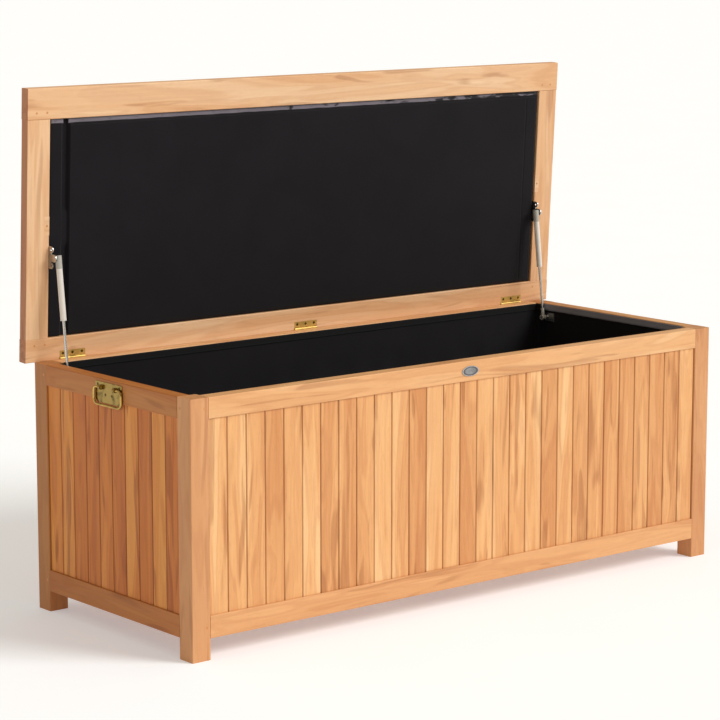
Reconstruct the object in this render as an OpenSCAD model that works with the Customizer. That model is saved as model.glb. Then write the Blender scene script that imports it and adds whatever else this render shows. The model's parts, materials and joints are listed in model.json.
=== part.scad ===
// Slatted hardwood deck storage box with a liner, a hinged lid on two gas struts and a handle on each end.
// Millimetres, +Z up. The lid is drawn open. Ground level is Z 0.

/* [Case] */
// Width of the case over its posts
case_w = 1460; // [1400:10:1480]
// Depth of the case over its posts
case_d = 566; // [540:2:570]
// Height of the case from the ground to its rim
case_h = 534; // [480:2:580]
// Side of each square corner post
post = 45; // [42:1:48]
// Height of the top rails
top_rail_h = 44; // [42:1:50]
// Height of the bottom rails
bottom_rail_h = 47; // [42:1:55]
// Thickness of the rails
rail_t = 32; // [30:1:33]
// Height of the bottom rails above the ground
ground_gap = 44; // [30:1:60]
// Radius on the long edges of posts and rails
edge_r = 2; // [1:0.5:3]

/* [Slats] */
// Number of slats on the front and on the rear
long_slats = 29; // [26:1:32]
// Number of slats on each end
end_slats = 10; // [9:1:11]
// Thickness of the case slats
slat_t = 12; // [10:1:13]
// Depth of the slats' faces behind the frame's face
slat_recess = 4; // [3:1:6]
// Width of the chamfer that makes the V joints
slat_chamfer = 2; // [1:0.5:2.5]

/* [Lid] */
// Width of the lid
lid_w = 1500; // [1490:2:1510]
// Depth of the lid
lid_d = 582; // [576:2:590]
// Thickness of the lid's frame
lid_t = 24; // [24:1:28]
// Width of the lid's front rail
lid_front_rail_w = 66; // [58:1:72]
// Width of the lid's rear rail
lid_rear_rail_w = 50; // [45:1:58]
// Width of the lid's stiles
stile_w = 56; // [55:1:57]
// Number of slats across the lid
lid_slats = 29; // [26:1:32]
// Thickness of the lid slats
lid_slat_t = 8; // [7:0.5:8]
// Angle from closed to fully open
lid_open = 86.8; // [80:0.2:90]

/* [Hinges] */
// Length of each butt hinge
hinge_l = 64; // [60:1:76]
// Distance of the outer hinges from the middle of the lid
hinge_x = 632; // [560:2:640]
// Radius of the knuckles
knuckle_r = 3.2; // [3:0.1:3.2]
// Thickness of the leaves
leaf_t = 1.8; // [1.5:0.1:2]

/* [Struts] */
// Distance of the strut's lid pivot from the hinge pin, along the lid
strut_reach = 221.6; // [218:0.2:226]
// Depth of the strut's lid pivot below the lid's inner face
strut_drop = 19.6; // [19:0.2:20]
// Distance of the strut's case pivot from the rear face
strut_inset = 58; // [57:0.5:60]
// Depth of the strut's case pivot below the rim
strut_depth = 32; // [31:0.5:33]
// Length of the cylinder and its cap below the lid pivot
cylinder_l = 132; // [128:1:134]

/* [Handles] */
// Width of the handle's backing plate
handle_w = 96; // [90:1:104]
// Height of the handle's backing plate
handle_h = 43; // [41:1:48]
// Radius of the bail's wire
bail_r = 2.6; // [2.2:0.1:2.8]

/* [Hidden] */
$fn = 48;

// Frame joints
groove_depth = 8;
groove_play = 0.1;
tenon_t = 10;
tenon_l = 20;
tenon_margin = 6;
peg_r = 3;
peg_l = 26;
peg_setback = 10;
fit_gap = 0.05;
slat_gap = 0.3;
tongue_l = 4;

// Floor and liner
bearer = 22;
board_t = 12;
board_count = 14;
board_gap = 5;
liner_t = 1.2;
liner_top_gap = 1.5;
band_t = 0.8;
band_h = 15;
floor_top = ground_gap + bearer + board_t;

// Badge
badge_w = 46;
badge_h = 22;
badge_t = 1.8;
badge_rim = 2;
badge_sink = 0.5;

// Lid, described as it lies closed
rim_gap = 0.6;
lid_rear_overhang = 6;
lid_z = case_h + rim_gap;
lid_rear_y = case_d / 2 + lid_rear_overhang;
lid_front_y = lid_rear_y - lid_d;
lid_open_front_y = lid_front_y + lid_front_rail_w;
lid_open_rear_y = lid_rear_y - lid_rear_rail_w;
lid_open_x = lid_w / 2 - stile_w;
lid_open_l = lid_open_rear_y - lid_open_front_y;
lid_mid_y = (lid_front_y + lid_rear_y) / 2;
lid_slat_z = lid_z + 14;
lid_liner_z = lid_z + 6;
lid_liner_t = 1.5;
lid_tenon_t = 8;
lid_tenon_z = lid_z + 8;
lid_peg_r = 2.5;
lid_peg_l = 20;
lid_peg_setback = 14;
lid_peg_edges = [22, 48];
lid_tenon_inset = 12;
lid_tenon_w = stile_w - lid_tenon_inset - 2;
batten_w = 40;
batten_lap = 12;
liner_play = 0.5;
lid_band_w = 10;

// Hinge line: the pin lies behind the rear face, level with the lid's inner face
pin_y = case_d / 2 + knuckle_r + 0.4;
pin_z = lid_z;
pin_r = 1.5;
hinge_xs = [-hinge_x, 0, hinge_x];
knuckles = 5;
knuckle_gap = 0.3;
knuckle_clear = knuckle_r + 0.7;
leaf_reach = 17;
leaf_screw_reach = 11;
leaf_screw_pitch = 24;
screw_r = 1.6;
screw_head_r = 3.1;
screw_l = 14;
slot_w = 0.7;
slot_depth = 0.9;

// The part's origin is under the middle of its box with the lid open
rear_reach = pin_y + (lid_rear_y - pin_y) * cos(lid_open) + lid_t * sin(lid_open);
front_reach = -case_d / 2 - badge_t;
case_shift = -(rear_reach + front_reach) / 2;

// Struts: each lies in one upright plane and joins a lid pivot to a case pivot
strut_x = case_w / 2 - 47;
rail_inner_x = case_w / 2 - rail_t;
strut_case_y = case_d / 2 - strut_inset;
strut_case_z = case_h - strut_depth;
strut_lid_y = pin_y - strut_reach;
strut_lid_z = lid_z - strut_drop;
strut_open_y = pin_y - strut_reach * cos(lid_open) - strut_drop * sin(lid_open);
strut_open_z = pin_z + strut_reach * sin(lid_open) - strut_drop * cos(lid_open);
strut_open_l = norm([strut_open_y - strut_case_y, strut_open_z - strut_case_z]);
strut_closed_l = norm([strut_lid_y - strut_case_y, strut_lid_z - strut_case_z]);
strut_lean = atan2(strut_open_y - strut_case_y, strut_open_z - strut_case_z);
cylinder_r = 6.5;
cylinder_bore_r = 5.6;
cylinder_end_wall = 8;
cylinder_top = 12;
cylinder_top_wall = 4;
cap_r = 6.9;
cap_l = 22;
cap_top = 6;
rod_r = 3;
rod_start = 12;
rod_tip_gap = 2;
rod_end = strut_closed_l - cylinder_top - cylinder_top_wall - rod_tip_gap;
piston_l = 6;
running_gap = 0.05;
eye_r = 6;
eye_w = 11;
eye_neck_r = 4.2;
eye_neck_l = 22;
stud_r = 3;
stud_collar_r = 5;
stud_collar_l = 3;
bracket_t = 2;
open_pivot_gap = 0.4;
lid_bracket_x = lid_open_x - bracket_t;
case_bracket_x = rail_inner_x - liner_t - bracket_t;
case_plate_front = 27;
case_plate_rear = 11;
case_plate_h = 20;
case_screw_back = 20;
case_screw_rise = 5.5;
lid_bracket_screw = 17;
lid_bracket_screw_depth = 2.9;

// Handles, described on the left end
handle_top = 6;
handle_t = 1.6;
handle_corner = 10;
handle_drop = 17;
handle_stand = 3.4;
ear_y = 26;
ear_w = 7;
ear_r = 4.8;
bail_half = 49.4;
bail_inner = 21;
bail_top_bend = 10;
bail_low_bend = 12;
bail_h = 36;
handle_screw_places = [[39, 12], [12, 31.5]];

// Finishes
teak = [0.80, 0.58, 0.36];
teak_peg = [0.55, 0.36, 0.20];
brass = [0.83, 0.69, 0.35];
steel = [0.72, 0.72, 0.70];
paint = [0.88, 0.86, 0.82];
nylon = [0.66, 0.64, 0.60];
black_cloth = [0.13, 0.12, 0.14];
grey_web = [0.42, 0.42, 0.46];
pewter = [0.62, 0.61, 0.60];

// ---- placing helpers ----

module in_case() {
    translate([0, case_shift, 0]) children();
}

// Puts what is described on the closed lid where the open lid carries it
module on_lid() {
    in_case() translate([0, pin_y, pin_z]) rotate([-lid_open, 0, 0])
        translate([0, -pin_y, -pin_z]) children();
}

module both_sides() {
    children();
    mirror([1, 0, 0]) children();
}

// Keeps what is described on the left there for side 1, and mirrors it to the right for side -1
module on_side(side) {
    if (side > 0) children();
    else mirror([1, 0, 0]) children();
}

// ---- shapes used again ----

module rounded_square(w, d, r) {
    translate([r, 0]) square([w - 2 * r, d]);
    translate([0, r]) square([w, d - 2 * r]);
    for (x = [r, w - r], y = [r, d - r]) translate([x, y]) circle(r);
}

// A bar with rounded long edges, from a low corner, along X, Y or Z
module bar_z(size) {
    linear_extrude(size.z) rounded_square(size.x, size.y, edge_r);
}

module bar_x(size) {
    rotate([90, 0, 90]) linear_extrude(size.x) rounded_square(size.y, size.z, edge_r);
}

module bar_y(size) {
    translate([size.x, 0, 0]) rotate([90, 0, 180]) linear_extrude(size.y)
        rounded_square(size.x, size.z, edge_r);
}

// Countersunk screw: its head's face is at the origin and it points down -Z
module screw_body(l, grow = 0) {
    head_h = screw_head_r - screw_r;
    translate([0, 0, -head_h]) cylinder(h = head_h, r1 = screw_r + grow, r2 = screw_head_r + grow);
    translate([0, 0, -l - grow]) cylinder(h = l + grow, r = screw_r + grow);
}

module screw(l) {
    difference() {
        screw_body(l);
        for (a = [0, 90]) rotate([0, 0, a]) translate([-screw_head_r * 0.6, -slot_w / 2, -slot_depth])
            cube([screw_head_r * 1.2, slot_w, slot_depth + 1]);
    }
}

// ---- case frame ----

// Peg positions of one corner, as [along-Y peg, along-X peg], for the corner at low X and low Y
module corner_pegs(grow = 0) {
    for (z = [ground_gap + bottom_rail_h / 2, case_h - top_rail_h / 2]) {
        translate([-case_w / 2 + post - peg_setback, -case_d / 2, z]) rotate([-90, 0, 0])
            cylinder(h = peg_l + grow, r = peg_r + grow);
        translate([-case_w / 2, -case_d / 2 + post - peg_setback, z]) rotate([0, 90, 0])
            cylinder(h = peg_l + grow, r = peg_r + grow);
    }
}

module all_corner_pegs(grow = 0) {
    both_sides() {
        corner_pegs(grow);
        mirror([0, 1, 0]) corner_pegs(grow);
    }
}

// The tenon at the low-X end of a front rail, from z0 up to z1
module front_tenon(z0, z1, grow = 0) {
    translate([-case_w / 2 + post - tenon_l - grow, -case_d / 2 + (rail_t - tenon_t) / 2 - grow,
        z0 + tenon_margin - grow])
        cube([tenon_l + 2 * grow, tenon_t + 2 * grow, z1 - z0 - 2 * tenon_margin + 2 * grow]);
}

module side_tenon(z0, z1, grow = 0) {
    translate([-case_w / 2 + (rail_t - tenon_t) / 2 - grow, -case_d / 2 + post - tenon_l - grow,
        z0 + tenon_margin - grow])
        cube([tenon_t + 2 * grow, tenon_l + 2 * grow, z1 - z0 - 2 * tenon_margin + 2 * grow]);
}

module corner_post() {
    difference() {
        translate([-case_w / 2, -case_d / 2, 0]) bar_z([post, post, case_h]);
        for (rail = [[ground_gap, ground_gap + bottom_rail_h], [case_h - top_rail_h, case_h]]) {
            front_tenon(rail[0], rail[1], fit_gap);
            side_tenon(rail[0], rail[1], fit_gap);
        }
        corner_pegs(fit_gap);
    }
}

// A front rail whose slat groove is in its top (bottom rail) or its underside (top rail)
module front_rail(z0, h, groove_z) {
    difference() {
        union() {
            translate([-case_w / 2 + post, -case_d / 2, z0]) bar_x([case_w - 2 * post, rail_t, h]);
            both_sides() front_tenon(z0, z0 + h);
        }
        translate([-case_w / 2 + post - 1, -case_d / 2 + slat_recess - groove_play, groove_z])
            cube([case_w - 2 * post + 2, slat_t + 2 * groove_play, groove_depth + groove_play]);
        all_corner_pegs(fit_gap);
    }
}

module left_rail(z0, h, groove_z) {
    difference() {
        union() {
            translate([-case_w / 2, -case_d / 2 + post, z0]) bar_y([rail_t, case_d - 2 * post, h]);
            side_tenon(z0, z0 + h);
            mirror([0, 1, 0]) side_tenon(z0, z0 + h);
        }
        translate([-case_w / 2 + slat_recess - groove_play, -case_d / 2 + post - 1, groove_z])
            cube([slat_t + 2 * groove_play, case_d - 2 * post + 2, groove_depth + groove_play]);
        all_corner_pegs(fit_gap);
    }
}

top_rail_z = case_h - top_rail_h;
top_groove_z = top_rail_z - groove_play;
bottom_groove_z = ground_gap + bottom_rail_h - groove_depth;

module post_at(x_side, y_side) {
    color(teak) in_case() mirror([x_side > 0 ? 1 : 0, 0, 0]) mirror([0, y_side > 0 ? 1 : 0, 0]) corner_post();
}

module front_top_rail() {
    color(teak) in_case() front_rail(top_rail_z, top_rail_h, top_groove_z);
}

module rear_top_rail() {
    color(teak) in_case() difference() {
        mirror([0, 1, 0]) front_rail(top_rail_z, top_rail_h, top_groove_z);
        case_leaf_screws(fit_gap);
    }
}

module left_top_rail() {
    color(teak) in_case() difference() {
        left_rail(top_rail_z, top_rail_h, top_groove_z);
        case_bracket_screws(fit_gap);
        plate_screws(fit_gap);
    }
}

module right_top_rail() {
    color(teak) in_case() mirror([1, 0, 0]) difference() {
        left_rail(top_rail_z, top_rail_h, top_groove_z);
        case_bracket_screws(fit_gap);
        plate_screws(fit_gap);
    }
}

module front_bottom_rail() {
    color(teak) in_case() front_rail(ground_gap, bottom_rail_h, bottom_groove_z);
}

module rear_bottom_rail() {
    color(teak) in_case() mirror([0, 1, 0]) front_rail(ground_gap, bottom_rail_h, bottom_groove_z);
}

module left_bottom_rail() {
    color(teak) in_case() left_rail(ground_gap, bottom_rail_h, bottom_groove_z);
}

module right_bottom_rail() {
    color(teak) in_case() mirror([1, 0, 0]) left_rail(ground_gap, bottom_rail_h, bottom_groove_z);
}

module case_pegs() {
    color(teak_peg) in_case() all_corner_pegs();
}

// ---- slats ----

// Section of one board: its face is at Y 0, its tongue points to +X and its groove is at X 0
module slat_section(w, t, tongue) {
    mid = t / 2;
    half = t / 6;
    tip = tongue ? w + tongue_l : w;
    polygon([[slat_chamfer, 0], [w - slat_chamfer, 0], [w, slat_chamfer], [w, mid - half],
        [tip, mid - half], [tip, mid + half], [w, mid + half], [w, t], [0, t],
        [0, mid + half + groove_play], [tongue_l + slat_gap, mid + half + groove_play],
        [tongue_l + slat_gap, mid - half - groove_play], [0, mid - half - groove_play], [0, slat_chamfer]]);
}

// A row of boards along X from X 0, standing on Z 0
module slat_row(count, length, height, t) {
    pitch = length / count;
    for (i = [0:count - 1])
        translate([i * pitch + slat_gap / 2, 0, 0]) linear_extrude(height)
            slat_section(pitch - slat_gap, t, i < count - 1);
}

slat_z = ground_gap + bottom_rail_h - groove_depth + groove_play;
slat_h = top_rail_z + groove_depth - 2 * groove_play - slat_z;

module front_slat_row() {
    translate([-case_w / 2 + post, -case_d / 2 + slat_recess, slat_z])
        slat_row(long_slats, case_w - 2 * post, slat_h, slat_t);
}

module left_slat_row() {
    translate([-case_w / 2 + slat_recess, case_d / 2 - post, slat_z]) rotate([0, 0, -90])
        slat_row(end_slats, case_d - 2 * post, slat_h, slat_t);
}

module front_slats() {
    color(teak) in_case() front_slat_row();
}

module rear_slats() {
    color(teak) in_case() rotate([0, 0, 180]) front_slat_row();
}

module left_slats() {
    color(teak) in_case() left_slat_row();
}

module right_slats() {
    color(teak) in_case() rotate([0, 0, 180]) left_slat_row();
}

// ---- floor and liner ----

module floor_bearers() {
    bearer_x = case_w / 2 - post - 1;
    inner_y = case_d / 2 - rail_t;
    color(teak) in_case() {
        for (y = [-inner_y, inner_y - bearer])
            translate([-bearer_x, y, ground_gap]) cube([2 * bearer_x, bearer, bearer]);
        translate([-rail_inner_x, -bearer / 2, ground_gap]) cube([2 * rail_inner_x, bearer, bearer]);
    }
}

module floor_boards() {
    span = case_w - 2 * post - 2;
    pitch = span / board_count;
    length = case_d - 2 * rail_t - 2 * liner_play;
    color(teak) in_case() for (i = [0:board_count - 1])
        translate([-span / 2 + i * pitch + board_gap / 2, -length / 2, ground_gap + bearer])
            cube([pitch - board_gap, length, board_t]);
}

// Outline of the space inside the frame, drawn in by a distance all round
module cavity_outline(inset) {
    difference() {
        square([2 * (rail_inner_x - inset), case_d - 2 * rail_t - 2 * inset], center = true);
        for (x = [-1, 1], y = [-1, 1])
            translate([x * case_w / 2, y * case_d / 2]) square(2 * (post + inset), center = true);
    }
}

module box_liner() {
    color(black_cloth) in_case() difference() {
        union() {
            translate([0, 0, floor_top]) linear_extrude(liner_t) cavity_outline(0);
            translate([0, 0, floor_top]) linear_extrude(case_h - liner_top_gap - floor_top) difference() {
                cavity_outline(0);
                cavity_outline(liner_t);
            }
        }
        both_sides() case_bracket_screws(fit_gap);
    }
}

module box_liner_band() {
    band_z = case_h - liner_top_gap - band_h;
    color(grey_web) in_case() translate([0, 0, band_z]) linear_extrude(band_h) difference() {
        cavity_outline(liner_t);
        cavity_outline(liner_t + band_t);
    }
}

// ---- badge ----

badge_steps = 64;

function ellipse(w, h) = [for (i = [0:badge_steps - 1])
    [w / 2 * cos(i * 360 / badge_steps), h / 2 * sin(i * 360 / badge_steps)]];

module badge() {
    badge_z = case_h - top_rail_h / 2;
    color(pewter) in_case() translate([0, -case_d / 2, badge_z]) rotate([90, 0, 0]) difference() {
        linear_extrude(badge_t) polygon(ellipse(badge_w, badge_h));
        translate([0, 0, badge_t - badge_sink]) linear_extrude(badge_sink + 1)
            polygon(ellipse(badge_w - 2 * badge_rim, badge_h - 2 * badge_rim));
    }
}

// ---- lid frame, described as it lies closed ----

module lid_corner_pegs(grow = 0) {
    for (edge = lid_peg_edges, y = [lid_open_front_y - lid_peg_setback, lid_open_rear_y + lid_peg_setback])
        translate([-lid_w / 2 + edge, y, lid_z - grow])
            cylinder(h = lid_peg_l + 2 * grow, r = lid_peg_r + grow);
}

module lap_peg(grow = 0) {
    translate([-lid_open_x - batten_lap / 2, lid_mid_y, lid_z - grow])
        cylinder(h = lid_peg_l + grow, r = lid_peg_r + grow);
}

module lid_tenons(grow = 0) {
    for (y = [lid_open_front_y - tenon_l, lid_open_rear_y])
        translate([-lid_w / 2 + lid_tenon_inset - grow, y - grow, lid_tenon_z - grow])
            cube([lid_tenon_w + 2 * grow, tenon_l + 2 * grow, lid_tenon_t + 2 * grow]);
}

module lid_slat_groove() {
    translate([-lid_open_x, lid_open_front_y - groove_depth, lid_slat_z - groove_play])
        cube([2 * lid_open_x, lid_open_l + 2 * groove_depth, lid_slat_t + 2 * groove_play]);
}

module lid_rail(y, w) {
    difference() {
        translate([-lid_w / 2, y, lid_z]) bar_x([lid_w, w, lid_t]);
        both_sides() {
            lid_tenons(fit_gap);
            lid_corner_pegs(fit_gap);
        }
        lid_slat_groove();
    }
}

module lid_front_rail() {
    color(teak) on_lid() lid_rail(lid_front_y, lid_front_rail_w);
}

module lid_rear_rail() {
    color(teak) on_lid() difference() {
        lid_rail(lid_open_rear_y, lid_rear_rail_w);
        for (x = hinge_xs) translate([x, 0, 0]) hinge_recess();
        lid_leaf_screws(fit_gap);
    }
}

module stile() {
    difference() {
        union() {
            translate([-lid_w / 2, lid_open_front_y, lid_z])
                bar_y([stile_w, lid_open_l, lid_t]);
            lid_tenons();
        }
        lid_corner_pegs(fit_gap);
        lap_peg(fit_gap);
        batten_shape(fit_gap);
        lid_bracket_screws(fit_gap);
    }
}

module lid_left_stile() {
    color(teak) on_lid() stile();
}

module lid_right_stile() {
    color(teak) on_lid() mirror([1, 0, 0]) stile();
}

// The batten is thin under the liner and full thickness where its ends are let into the stiles
module batten_shape(grow = 0) {
    thin_z = lid_liner_z + lid_liner_t;
    half_l = lid_open_x + batten_lap;
    translate([-half_l - grow, lid_mid_y - batten_w / 2 - grow, thin_z])
        cube([2 * half_l + 2 * grow, batten_w + 2 * grow, lid_slat_z - thin_z + grow]);
    for (x = [-half_l - grow, lid_open_x])
        translate([x, lid_mid_y - batten_w / 2 - grow, lid_z - grow])
            cube([batten_lap + grow, batten_w + 2 * grow, lid_slat_z - lid_z + grow]);
}

module lid_batten() {
    color(teak) on_lid() difference() {
        batten_shape();
        both_sides() lap_peg(fit_gap);
    }
}

module lid_slats_panel() {
    length = lid_open_l + 2 * groove_depth - 2 * groove_play;
    start_y = lid_open_front_y - groove_depth + groove_play;
    color(teak) on_lid() translate([-lid_open_x, start_y, lid_slat_z + lid_slat_t])
        rotate([-90, 0, 0]) slat_row(lid_slats, 2 * lid_open_x, length, lid_slat_t);
}

module lid_pegs() {
    color(teak_peg) on_lid() both_sides() {
        lid_corner_pegs();
        lap_peg();
    }
}

module lid_liner() {
    color(black_cloth) on_lid()
        translate([-lid_open_x + liner_play, lid_open_front_y + liner_play, lid_liner_z])
            cube([2 * (lid_open_x - liner_play), lid_open_l - 2 * liner_play, lid_liner_t]);
}

module lid_liner_band() {
    color(grey_web) on_lid()
        translate([-lid_open_x + liner_play, lid_open_front_y + liner_play, lid_liner_z - band_t])
            cube([2 * (lid_open_x - liner_play), lid_band_w, band_t]);
}

// ---- hinges ----

knuckle_l = hinge_l / knuckles;

module knuckle(i) {
    translate([-hinge_l / 2 + i * knuckle_l + knuckle_gap / 2, pin_y, pin_z]) rotate([0, 90, 0])
        cylinder(h = knuckle_l - knuckle_gap, r = knuckle_r);
}

module pin_bore(grow) {
    translate([-hinge_l / 2 - 1, pin_y, pin_z]) rotate([0, 90, 0])
        cylinder(h = hinge_l + 2, r = pin_r + grow);
}

module knuckle_tab(i, size, place) {
    translate([-hinge_l / 2 + i * knuckle_l + knuckle_gap / 2, place.x, place.y])
        cube([knuckle_l - knuckle_gap, size.x, size.y]);
}

module hinge_recess() {
    translate([-hinge_l / 2 - knuckle_gap, pin_y - leaf_reach - fit_gap, lid_z - 1])
        cube([hinge_l + 2 * knuckle_gap, leaf_reach + lid_rear_overhang, leaf_t + 1 + fit_gap]);
    translate([-hinge_l / 2 - knuckle_gap, pin_y - knuckle_clear, lid_z - 1])
        cube([hinge_l + 2 * knuckle_gap, 2 * knuckle_clear, knuckle_clear + 1]);
}

module case_leaf_screws(grow = 0) {
    for (hx = hinge_xs, i = [-1:1])
        translate([hx + i * leaf_screw_pitch, case_d / 2 + leaf_t, pin_z - leaf_screw_reach])
            rotate([-90, 0, 0])
                if (grow > 0) screw_body(screw_l, grow);
                else screw(screw_l);
}

module lid_leaf_screws(grow = 0) {
    for (hx = hinge_xs, i = [-1:1])
        translate([hx + i * leaf_screw_pitch, pin_y - leaf_screw_reach, lid_z]) rotate([180, 0, 0])
            if (grow > 0) screw_body(screw_l, grow);
            else screw(screw_l);
}

module case_leaf(hx) {
    color(brass) in_case() difference() {
        translate([hx, 0, 0]) {
            translate([-hinge_l / 2, case_d / 2, pin_z - leaf_reach])
                cube([hinge_l, leaf_t, leaf_reach - knuckle_clear]);
            difference() {
                for (i = [0:2:knuckles - 1]) {
                    knuckle(i);
                    knuckle_tab(i, [leaf_t, knuckle_clear + 1], [case_d / 2, pin_z - knuckle_clear - 1]);
                }
                pin_bore(fit_gap);
            }
        }
        case_leaf_screws(fit_gap);
    }
}

module lid_leaf(hx) {
    color(brass) on_lid() difference() {
        translate([hx, 0, 0]) {
            translate([-hinge_l / 2, pin_y - leaf_reach, lid_z])
                cube([hinge_l, leaf_reach - knuckle_clear, leaf_t]);
            difference() {
                for (i = [1:2:knuckles - 1]) {
                    knuckle(i);
                    knuckle_tab(i, [knuckle_clear + 1, leaf_t], [pin_y - knuckle_clear - 1, lid_z]);
                }
                pin_bore(fit_gap);
            }
        }
        lid_leaf_screws(fit_gap);
    }
}

module hinge_pins() {
    color(brass) in_case() for (hx = hinge_xs)
        translate([hx - hinge_l / 2, pin_y, pin_z]) rotate([0, 90, 0]) cylinder(h = hinge_l, r = pin_r);
}

module hinge_case_screws() {
    color(brass) in_case() case_leaf_screws();
}

module hinge_lid_screws() {
    color(brass) on_lid() lid_leaf_screws();
}

// ---- gas struts, described on the left side ----

// Turns +Z to run from the case pivot to the open lid's pivot
module along_strut() {
    translate([-strut_x, strut_case_y, strut_case_z]) rotate([-strut_lean, 0, 0]) children();
}

// The same line, measured down from the lid pivot
module down_strut() {
    along_strut() translate([0, 0, strut_open_l]) mirror([0, 0, 1]) children();
}

module case_bracket_screws(grow = 0) {
    for (side = [-1, 1])
        translate([-case_bracket_x, strut_case_y - case_screw_back, strut_case_z + side * case_screw_rise])
            rotate([0, 90, 0])
            if (grow > 0) screw_body(screw_l, grow);
            else screw(screw_l);
}

module case_bracket() {
    difference() {
        translate([-case_bracket_x - bracket_t, strut_case_y, strut_case_z]) rotate([90, 0, 90]) {
            translate([-case_plate_front, -case_plate_h / 2, 0])
                cube([case_plate_front + case_plate_rear, case_plate_h, bracket_t]);
            cylinder(h = bracket_t + stud_collar_l, r = stud_collar_r);
            cylinder(h = case_bracket_x + bracket_t - strut_x + eye_w / 2, r = stud_r);
        }
        case_bracket_screws(fit_gap);
    }
}

module end_eye() {
    difference() {
        along_strut() union() {
            translate([-eye_w / 2, 0, 0]) rotate([0, 90, 0]) cylinder(h = eye_w, r = eye_r);
            cylinder(h = eye_neck_l, r = eye_neck_r);
        }
        along_strut() {
            translate([-eye_w / 2 - 1, 0, 0]) rotate([0, 90, 0])
                cylinder(h = eye_w + 2, r = stud_r + fit_gap);
            translate([0, 0, rod_start]) cylinder(h = eye_neck_l, r = rod_r + fit_gap);
        }
    }
}

module rod() {
    along_strut() {
        translate([0, 0, rod_start]) cylinder(h = rod_end - rod_start, r = rod_r);
        translate([0, 0, rod_end - piston_l]) cylinder(h = piston_l, r = cylinder_bore_r - running_gap);
    }
}

module strut_cylinder() {
    bore_top = cylinder_top + cylinder_top_wall;
    down_strut() difference() {
        translate([0, 0, cylinder_top]) cylinder(h = cylinder_l - cylinder_top, r = cylinder_r);
        translate([0, 0, bore_top])
            cylinder(h = cylinder_l - cylinder_end_wall - bore_top, r = cylinder_bore_r);
        translate([0, 0, bore_top]) cylinder(h = cylinder_l, r = rod_r + running_gap);
    }
}

module strut_cap() {
    down_strut() difference() {
        translate([0, 0, -cap_top]) cylinder(h = cap_top + cap_l, r = cap_r);
        translate([0, 0, cylinder_top]) cylinder(h = cap_l, r = cylinder_r + fit_gap);
    }
}

module lid_bracket_screws(grow = 0) {
    for (side = [-1, 1])
        translate([-lid_bracket_x, strut_lid_y + side * lid_bracket_screw, lid_z + lid_bracket_screw_depth])
            rotate([0, 90, 0])
                if (grow > 0) screw_body(screw_l, grow);
                else screw(screw_l);
}

// Plate on the stile's inner edge, with lobes and a stud that meets the cap
module lid_bracket() {
    seat = lid_liner_z - lid_z - 0.2;
    difference() {
        translate([-lid_bracket_x - bracket_t, strut_lid_y, lid_z]) rotate([90, 0, 90]) {
            linear_extrude(bracket_t) difference() {
                union() {
                    translate([-24, -8]) square([48, 8 + seat]);
                    for (y = [-lid_bracket_screw, lid_bracket_screw]) translate([y, -8]) circle(7);
                    translate([-8, -strut_drop]) square([16, strut_drop]);
                    translate([0, -strut_drop]) circle(8);
                }
                for (y = [-lid_bracket_screw, lid_bracket_screw]) translate([y, -8.5]) circle(2.4);
            }
            translate([0, -strut_drop, 0])
                cylinder(h = lid_bracket_x + bracket_t - strut_x - cap_r - open_pivot_gap, r = stud_r);
        }
        lid_bracket_screws(fit_gap);
    }
}

module case_side(side) {
    in_case() on_side(-side) children();
}

module lid_side(side) {
    on_lid() on_side(-side) children();
}

module strut_case_screws() {
    color(steel) in_case() both_sides() case_bracket_screws();
}

module strut_lid_screws() {
    color(steel) on_lid() both_sides() lid_bracket_screws();
}

// ---- handles, described on the left end ----

module plate_screws(grow = 0) {
    for (side = [-1, 1], place = handle_screw_places)
        translate([-case_w / 2 - handle_t, side * place[0], case_h - place[1]]) rotate([0, -90, 0])
            if (grow > 0) screw_body(screw_l, grow);
            else screw(screw_l);
}

module handle_outline() {
    translate([-handle_w / 2, -handle_h + handle_corner]) square([handle_w, handle_h - handle_corner]);
    translate([-handle_w / 2 + handle_corner, -handle_h]) square([handle_w - 2 * handle_corner, handle_h]);
    for (side = [-1, 1])
        translate([side * (handle_w / 2 - handle_corner), -handle_h + handle_corner]) circle(handle_corner);
}

bail_x = -case_w / 2 - handle_t - handle_stand;
bail_z = case_h - handle_drop;

module handle_plate() {
    difference() {
        union() {
            translate([-case_w / 2, 0, case_h - handle_top]) rotate([90, 0, -90])
                linear_extrude(handle_t) handle_outline();
            for (side = [-1, 1]) translate([0, side * ear_y - ear_w / 2, 0]) {
                translate([bail_x, ear_w, bail_z]) rotate([90, 0, 0]) cylinder(h = ear_w, r = ear_r);
                translate([bail_x, 0, bail_z - ear_r]) cube([handle_stand, ear_w, 2 * ear_r]);
            }
        }
        translate([bail_x, 2 * ear_y, bail_z]) rotate([90, 0, 0])
            cylinder(h = 4 * ear_y, r = bail_r + fit_gap);
        plate_screws(fit_gap);
    }
}

// One half of the bail, from its end in the ear round to the middle of the grip
module bail_half_wire() {
    low_z = -bail_h + bail_low_bend;
    translate([bail_inner, 0, 0]) rotate([0, 90, 0])
        cylinder(h = bail_half - bail_top_bend - bail_inner, r = bail_r);
    translate([bail_half - bail_top_bend, 0, -bail_top_bend]) rotate([90, 0, 0])
        rotate_extrude(angle = 90) translate([bail_top_bend, 0]) circle(bail_r);
    translate([bail_half, 0, low_z]) cylinder(h = bail_h - bail_low_bend - bail_top_bend, r = bail_r);
    translate([bail_half - bail_low_bend, 0, low_z]) rotate([90, 0, 0])
        rotate_extrude(angle = -90) translate([bail_low_bend, 0]) circle(bail_r);
    translate([0, 0, -bail_h]) rotate([0, 90, 0]) cylinder(h = bail_half - bail_low_bend, r = bail_r);
}

module bail() {
    translate([bail_x, 0, bail_z]) rotate([0, 0, 90]) both_sides() bail_half_wire();
}

module handle_screws() {
    color(brass) in_case() both_sides() plate_screws();
}

// ---- what is drawn ----

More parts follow.
